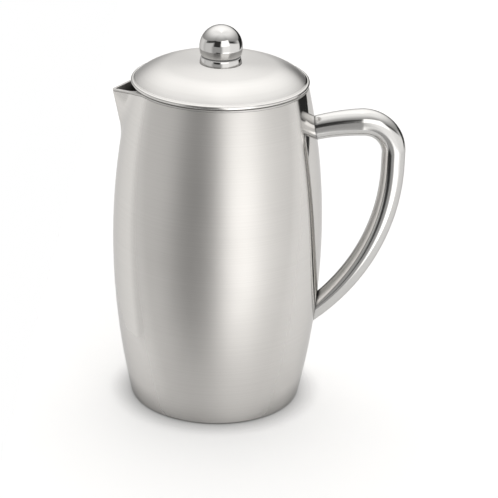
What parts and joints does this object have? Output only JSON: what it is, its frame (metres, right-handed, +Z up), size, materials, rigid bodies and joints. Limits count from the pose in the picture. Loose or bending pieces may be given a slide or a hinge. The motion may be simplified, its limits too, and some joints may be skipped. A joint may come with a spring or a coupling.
{
  "type": "french press",
  "caption": "Double-walled stainless coffee press with a barrel-shaped brushed pot, pulled spout, polished tube handle, domed lid, ball knob and sliding plunger filter.",
  "frame": {"origin": "middle of the foot on the pot's own axis, on the plane that it stands on", "axes": "+Z up along the pot, lid and plunger axis, -X towards the spout, +X towards the handle"},
  "size_m": [0.1655, 0.12, 0.2225],
  "materials": {
    "brushed_shell": "satin stainless steel, brushed round the pot",
    "brushed_lid": "fine-brushed stainless steel, brushed round the knob",
    "polished_steel": "mirror-polished stainless steel",
    "satin_liner": "plain drawn stainless steel, satin",
    "fitting_steel": "turned stainless steel, bright",
    "filter_steel": "stamped stainless steel, bright",
    "woven_mesh": "fine woven stainless wire",
    "bush_plastic": "black food-grade plastic"
  },
  "bodies": {
    "pot": {"outer_shell": "brushed_shell", "inner_liner": "satin_liner", "base_cover": "satin_liner", "handle_tube": "polished_steel"},
    "lid": {"lid_dome": "brushed_lid", "lid_underplate": "satin_liner", "lid_collar": "polished_steel", "guide_bush": "bush_plastic", "collar_washer": "fitting_steel", "collar_nut": "fitting_steel", "strainer_retainer": "satin_liner"},
    "strainer": {"strainer_ring": "satin_liner"},
    "plunger": {"plunger_rod": "fitting_steel", "knob_ball": "polished_steel", "knob_base": "polished_steel", "rod_shoulder": "fitting_steel", "spring_plate": "filter_steel", "edge_spring": "filter_steel", "filter_mesh": "woven_mesh", "cross_plate": "filter_steel", "filter_nut": "fitting_steel"}
  },
  "joints": [
    {"name": "lid_lift", "type": "slide", "parent": "pot", "child": "lid", "axis": [0, 0, 1], "range_m": [0, 0.185]},
    {"name": "lid_turn", "type": "hinge", "parent": "lid", "child": "strainer", "pos_m": [0, 0, 0.183], "axis": [0, 0, 1], "continuous": true},
    {"name": "plunger_press", "type": "slide", "parent": "lid", "child": "plunger", "axis": [0, 0, 1], "range_m": [0, 0.14]}
  ]
}
